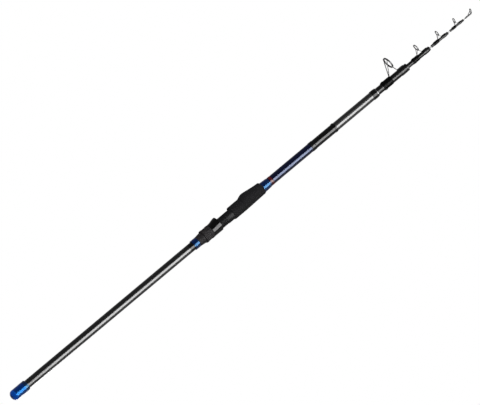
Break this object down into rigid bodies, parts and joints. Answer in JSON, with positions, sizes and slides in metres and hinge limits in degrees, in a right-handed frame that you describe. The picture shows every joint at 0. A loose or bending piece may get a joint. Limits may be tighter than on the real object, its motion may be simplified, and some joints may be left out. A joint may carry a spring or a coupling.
{
  "type": "telescopic fishing rod",
  "caption": "Closed telescopic surf rod: sliding tapered sections with line guides, a reel seat with a screwed hood, a foam foregrip and a screw-off butt cap.",
  "frame": {"origin": "centre of the butt cap's flat end, on the rod's axis", "axes": "+Z along the rod from the butt to the tip; the reel seat's bed and the line guides face -X; +Y completes the frame"},
  "size_m": [0.0665, 0.0366, 1.4537],
  "materials": {
    "handle_carbon": "varnished carbon blank, gloss black",
    "section_carbon": "varnished carbon blank, black",
    "blue_metal": "blue anodised aluminium, lacquered",
    "grip_foam": "fine closed-cell grip foam, matt black",
    "seat_plastic": "moulded seat, semi-gloss black",
    "nut_rubber": "soft-touch dark grey",
    "hood_metal": "gloss black paint over aluminium",
    "soft_rubber": "black rubber",
    "bare_metal": "turned aluminium",
    "mouth_metal": "polished steel ring",
    "arbor_board": "pressed arbor rings",
    "tip_paint": "white paint on the tip blank",
    "wrap_varnish": "black thread under clear varnish",
    "red_varnish": "dark red thread under clear varnish",
    "guide_metal": "black plated guide wire",
    "guide_ceramic": "polished black ring"
  },
  "bodies": {
    "butt_section": {"butt_tube": "handle_carbon", "butt_collar": "bare_metal", "collar_seal": "soft_rubber", "rear_trim_ring": "blue_metal", "rear_cone": "nut_rubber", "seat_barrel": "seat_plastic", "seat_arbors": "arbor_board", "fixed_hood": "grip_foam", "fixed_hood_liner": "soft_rubber", "foregrip": "grip_foam", "front_trim_ring": "blue_metal", "accent_band": "red_varnish", "mid_wrap": "wrap_varnish", "lacquer_ring": "mouth_metal", "mouth_wrap": "wrap_varnish", "mouth_ring": "mouth_metal"},
    "cap_bumper": {"cap_bumper": "soft_rubber"},
    "butt_cap": {"butt_cap": "blue_metal"},
    "sliding_hood": {"sliding_hood": "hood_metal", "hood_liner": "soft_rubber"},
    "lock_nut": {"lock_nut": "nut_rubber"},
    "section_2": {"section_2_tube": "section_carbon", "section_2_mouth_ring": "wrap_varnish", "guide_1_frame": "guide_metal", "guide_1_ring": "guide_ceramic", "guide_1_rear_wrap": "wrap_varnish", "guide_1_front_wrap": "wrap_varnish"},
    "section_3": {"section_3_tube": "section_carbon", "guide_2_frame": "guide_metal", "guide_2_ring": "guide_ceramic", "guide_2_rear_wrap": "wrap_varnish", "guide_2_front_wrap": "wrap_varnish"},
    "tip_section": {"tip_blank": "tip_paint", "tip_top_tube": "guide_metal", "tip_top_frame": "guide_metal", "tip_top_ring": "guide_ceramic"},
    "sliding_guide_3": {"guide_3_sleeve": "section_carbon", "guide_3_frame": "guide_metal", "guide_3_ring": "guide_ceramic", "guide_3_rear_wrap": "wrap_varnish", "guide_3_front_wrap": "wrap_varnish"},
    "sliding_guide_4": {"guide_4_sleeve": "section_carbon", "guide_4_frame": "guide_metal", "guide_4_ring": "guide_ceramic", "guide_4_rear_wrap": "wrap_varnish", "guide_4_front_wrap": "wrap_varnish"}
  },
  "joints": [
    {"name": "cap_slide", "type": "slide", "parent": "butt_section", "child": "cap_bumper", "axis": [0, 0, -1], "range_m": [0, 0.016]},
    {"name": "cap_turn", "type": "hinge", "parent": "cap_bumper", "child": "butt_cap", "pos_m": [0, 0, 0], "axis": [0, 0, -1], "range_deg": [0, 2880]},
    {"name": "hood_slide", "type": "slide", "parent": "butt_section", "child": "sliding_hood", "axis": [0, 0, 1], "range_m": [0, 0.014]},
    {"name": "nut_turn", "type": "hinge", "parent": "sliding_hood", "child": "lock_nut", "pos_m": [0, 0, 0.59986], "axis": [0, 0, 1], "range_deg": [0, 2520]},
    {"name": "section_2_slide", "type": "slide", "parent": "butt_section", "child": "section_2", "axis": [0, 0, 1], "range_m": [0, 0.96042]},
    {"name": "section_3_slide", "type": "slide", "parent": "section_2", "child": "section_3", "axis": [0, 0, 1], "range_m": [0, 1.07742]},
    {"name": "tip_slide", "type": "slide", "parent": "section_3", "child": "tip_section", "axis": [0, 0, 1], "range_m": [0, 1.16782]},
    {"name": "guide_3_slide", "type": "slide", "parent": "tip_section", "child": "sliding_guide_3", "axis": [0, 0, -1], "range_m": [0, 0.356]},
    {"name": "guide_4_slide", "type": "slide", "parent": "tip_section", "child": "sliding_guide_4", "axis": [0, 0, -1], "range_m": [0, 0.126]}
  ],
  "couplings": [
    {"joint": "cap_slide", "follows": "cap_turn", "m_per_rad": 0.0003183},
    {"joint": "hood_slide", "follows": "nut_turn", "m_per_rad": 0.0003183},
    {"joint": "guide_3_slide", "follows": "tip_slide", "ratio": 0.30484},
    {"joint": "guide_4_slide", "follows": "tip_slide", "ratio": 0.10789}
  ]
}
